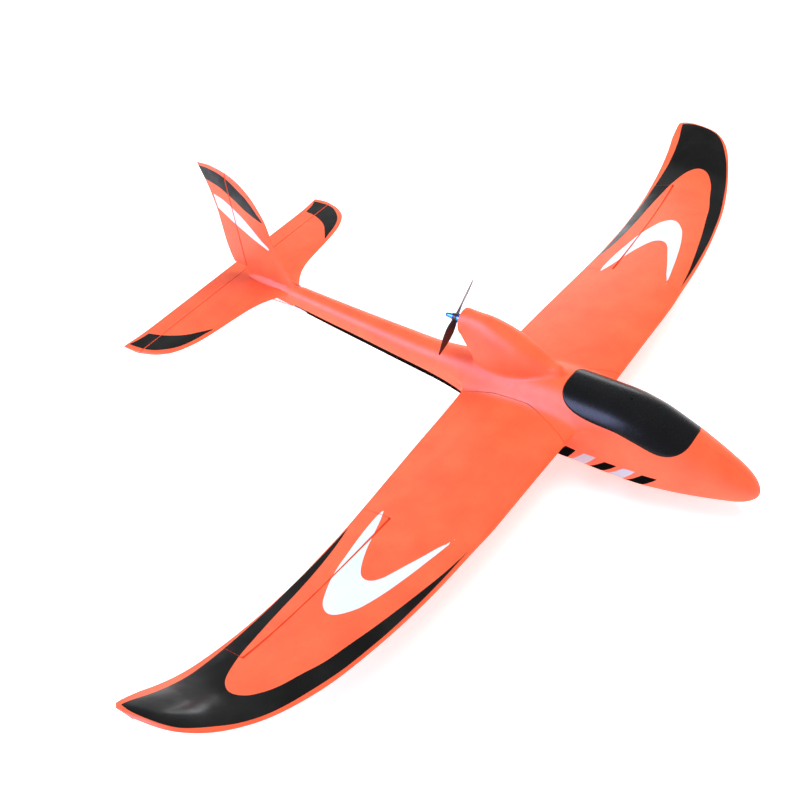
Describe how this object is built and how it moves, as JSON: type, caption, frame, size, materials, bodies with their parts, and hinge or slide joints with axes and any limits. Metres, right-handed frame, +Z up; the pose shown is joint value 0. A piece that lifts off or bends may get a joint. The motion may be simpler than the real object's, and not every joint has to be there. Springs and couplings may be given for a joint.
{
  "type": "rc glider",
  "caption": "Foam radio controlled glider: swept-tip wing with ailerons, pod-mounted pusher motor, lift-off canopy over a bay, low tailplane with elevator, fin and rudder.",
  "frame": {"origin": "on the flat of the belly in the plane of symmetry, under the wing spar", "axes": "+X towards the nose, +Y towards the left wing tip, +Z up"},
  "size_m": [0.928, 1.4, 0.3125],
  "materials": {
    "orange_foam": "moulded bead foam, satin",
    "black_canopy": "satin black",
    "bright_steel": "bright",
    "carbon_tube": "satin woven carbon",
    "black_nylon": "satin",
    "black_webbing": "woven",
    "blue_aluminium": "anodised",
    "plywood": "sanded",
    "battery_wrap": "shrink wrap",
    "black_case": "satin",
    "blue_wrap": "shrink wrap",
    "servo_case": "translucent blue",
    "white_nylon": "satin",
    "vinyl_black": "glossy self-adhesive film",
    "vinyl_white": "glossy self-adhesive film"
  },
  "bodies": {
    "airframe": {"fuselage_left": "orange_foam", "fuselage_right": "orange_foam", "bay_magnets": "bright_steel", "motor_pod": "orange_foam", "wing_left": "orange_foam", "wing_right": "orange_foam", "wing_spar": "carbon_tube", "alignment_dowels": "carbon_tube", "stabilizer": "orange_foam", "fin": "orange_foam", "battery_tray": "plywood", "battery": "battery_wrap", "battery_strap": "black_webbing", "servo_trays": "plywood", "receiver": "black_case", "speed_controller": "blue_wrap", "motor_mount": "black_nylon", "motor_base": "bright_steel", "motor_screws": "bright_steel", "aileron_servo_left": "servo_case", "aileron_servo_right": "servo_case", "elevator_servo": "servo_case", "rudder_servo": "servo_case", "elevator_guide_tube": "white_nylon", "rudder_guide_tube": "white_nylon", "aileron_hinge_pins_left": "white_nylon", "aileron_hinge_pins_right": "white_nylon", "elevator_hinge_pins": "white_nylon", "rudder_hinge_pins": "white_nylon"},
    "propeller": {"motor_bell": "bright_steel", "propeller_adapter": "blue_aluminium", "propeller": "black_nylon", "propeller_nut": "blue_aluminium"},
    "canopy": {"canopy": "black_canopy", "canopy_magnets": "bright_steel"},
    "elevator": {"elevator": "orange_foam", "elevator_hinge_leaves": "white_nylon", "elevator_horn": "white_nylon"},
    "rudder": {"rudder": "orange_foam", "rudder_hinge_leaves": "white_nylon", "rudder_horn": "white_nylon"},
    "elevator_servo_arm": {"elevator_servo_arm": "white_nylon"},
    "rudder_servo_arm": {"rudder_servo_arm": "white_nylon"},
    "elevator_pushrod": {"elevator_pushrod": "bright_steel"},
    "rudder_pushrod": {"rudder_pushrod": "bright_steel"},
    "aileron_left": {"aileron_left": "orange_foam", "aileron_hinge_leaves_left": "white_nylon", "aileron_horn_left": "white_nylon"},
    "aileron_servo_arm_left": {"aileron_servo_arm_left": "white_nylon"},
    "aileron_pushrod_left": {"aileron_pushrod_left": "bright_steel"},
    "aileron_right": {"aileron_right": "orange_foam", "aileron_hinge_leaves_right": "white_nylon", "aileron_horn_right": "white_nylon"},
    "aileron_servo_arm_right": {"aileron_servo_arm_right": "white_nylon"},
    "aileron_pushrod_right": {"aileron_pushrod_right": "bright_steel"}
  },
  "joints": [
    {"name": "aileron_hinge_left", "type": "hinge", "parent": "airframe", "child": "aileron_left", "pos_m": [-0.07875, 0.43516, 0.0839], "axis": [-0.0665, 0.9972, 0.0327], "range_deg": [-20, 20]},
    {"name": "aileron_servo_left", "type": "hinge", "parent": "airframe", "child": "aileron_servo_arm_left", "pos_m": [-0.02109, 0.352, 0.08296], "axis": [-0.0665, 0.9972, 0.0327], "range_deg": [-23, 23]},
    {"name": "aileron_link_left", "type": "hinge", "parent": "aileron_servo_arm_left", "child": "aileron_pushrod_left", "pos_m": [-0.02112, 0.35252, 0.06697], "axis": [-0.0665, 0.9972, 0.0327], "range_deg": [-23, 23]},
    {"name": "aileron_hinge_right", "type": "hinge", "parent": "airframe", "child": "aileron_right", "pos_m": [-0.07875, -0.43516, 0.0839], "axis": [0.0665, 0.9972, -0.0327], "range_deg": [-20, 20]},
    {"name": "aileron_servo_right", "type": "hinge", "parent": "airframe", "child": "aileron_servo_arm_right", "pos_m": [-0.02109, -0.352, 0.08296], "axis": [0.0665, 0.9972, -0.0327], "range_deg": [-23, 23]},
    {"name": "aileron_link_right", "type": "hinge", "parent": "aileron_servo_arm_right", "child": "aileron_pushrod_right", "pos_m": [-0.02112, -0.35252, 0.06697], "axis": [0.0665, 0.9972, -0.0327], "range_deg": [-23, 23]},
    {"name": "elevator_hinge", "type": "hinge", "parent": "airframe", "child": "elevator", "pos_m": [-0.597, 0, 0.114], "axis": [0, 1, 0], "range_deg": [-15, 15]},
    {"name": "elevator_servo", "type": "hinge", "parent": "airframe", "child": "elevator_servo_arm", "pos_m": [-0.085, 0.004, 0.0856], "axis": [0, 1, 0], "range_deg": [-18, 18]},
    {"name": "elevator_link", "type": "hinge", "parent": "elevator_servo_arm", "child": "elevator_pushrod", "pos_m": [-0.085, 0.004, 0.0716], "axis": [0, 1, 0], "range_deg": [-18, 18]},
    {"name": "rudder_hinge", "type": "hinge", "parent": "airframe", "child": "rudder", "pos_m": [-0.578, 0, 0.2], "axis": [0, 0, 1], "range_deg": [-22, 22]},
    {"name": "rudder_servo", "type": "hinge", "parent": "airframe", "child": "rudder_servo_arm", "pos_m": [-0.015, -0.002, 0.066], "axis": [0, 0, 1], "range_deg": [-25, 25]},
    {"name": "rudder_link", "type": "hinge", "parent": "rudder_servo_arm", "child": "rudder_pushrod", "pos_m": [-0.015, 0.012, 0.066], "axis": [0, 0, 1], "range_deg": [-25, 25]},
    {"name": "propeller_spin", "type": "hinge", "parent": "airframe", "child": "propeller", "pos_m": [-0.16, 0, 0.1685], "axis": [1, 0, 0], "continuous": true},
    {"name": "canopy_lift", "type": "slide", "parent": "airframe", "child": "canopy", "axis": [0, 0, 1], "range_m": [0, 0.09]}
  ],
  "couplings": [
    {"joint": "aileron_servo_left", "follows": "aileron_hinge_left", "ratio": 1},
    {"joint": "aileron_link_left", "follows": "aileron_hinge_left", "ratio": -1},
    {"joint": "aileron_servo_right", "follows": "aileron_hinge_right", "ratio": 1},
    {"joint": "aileron_link_right", "follows": "aileron_hinge_right", "ratio": -1},
    {"joint": "elevator_servo", "follows": "elevator_hinge", "ratio": 1},
    {"joint": "elevator_link", "follows": "elevator_hinge", "ratio": -1},
    {"joint": "rudder_servo", "follows": "rudder_hinge", "ratio": 1},
    {"joint": "rudder_link", "follows": "rudder_hinge", "ratio": -1}
  ]
}
